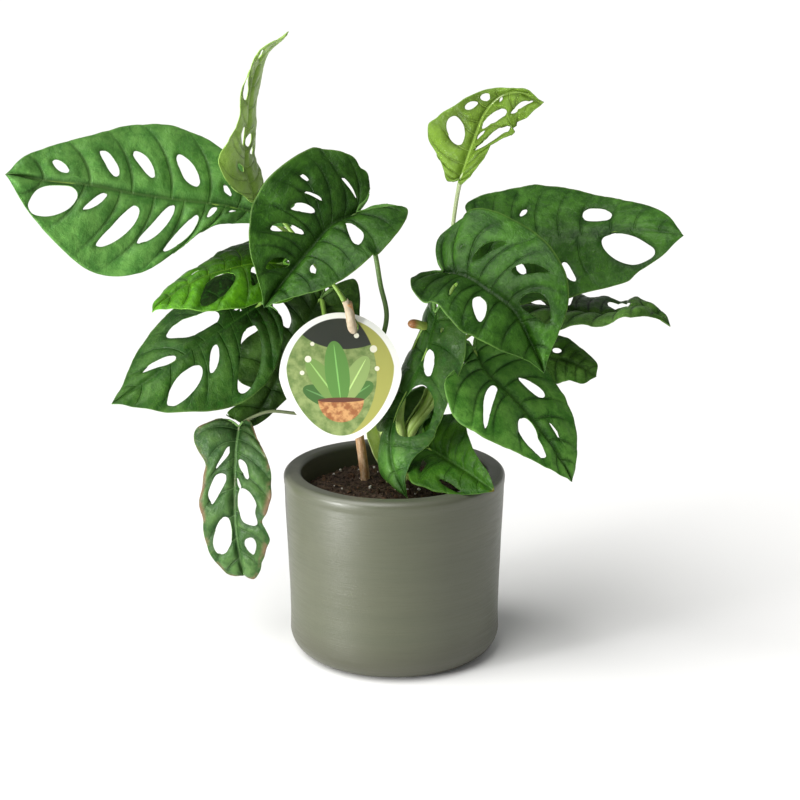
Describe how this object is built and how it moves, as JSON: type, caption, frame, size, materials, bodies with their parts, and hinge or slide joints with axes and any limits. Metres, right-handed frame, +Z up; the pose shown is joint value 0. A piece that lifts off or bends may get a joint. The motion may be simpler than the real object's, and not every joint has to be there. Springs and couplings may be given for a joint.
{
  "type": "potted monstera adansonii",
  "caption": "Climbing aroid with oval leaves full of holes, growing from potting mix in a smooth round ceramic pot, with an oval plant tag on one stem.",
  "frame": {"origin": "centre of the pot's flat base", "axes": "+Z up along the pot's axis, -Y towards the front, +X to the right seen from the front"},
  "size_m": [0.4355, 0.15, 0.4156],
  "materials": {
    "pot_ceramic": "satin sage green glazed ceramic",
    "potting_mix": "loose dark fibrous potting mix with white grains",
    "stem_brown": "dry, finely furrowed",
    "stem_green": "smooth, slightly waxy",
    "sheath_pale": "thin and papery",
    "tag_card": "printed card with a satin film",
    "leaf_mature": "waxy semi-gloss, veined",
    "leaf_young": "waxy semi-gloss, veined"
  },
  "bodies": {
    "root": {"pot": "pot_ceramic", "soil": "potting_mix", "vine_left": "stem_brown", "vine_right": "stem_green", "sheath_front": "sheath_pale", "hang_tag": "tag_card", "leaf_far_left": "leaf_mature", "leaf_young_upright": "leaf_young", "leaf_centre_left": "leaf_mature", "leaf_mid_left": "leaf_mature", "leaf_low_left": "leaf_mature", "leaf_behind_left": "leaf_mature", "leaf_hanging_left": "leaf_mature", "leaf_young_top": "leaf_young", "leaf_far_right": "leaf_mature", "leaf_front_right": "leaf_mature", "leaf_low_right": "leaf_mature", "leaf_narrow_right": "leaf_mature", "leaf_small_right": "leaf_mature", "leaf_centre_right": "leaf_mature", "leaf_over_rim": "leaf_mature"}
  },
  "joints": []
}
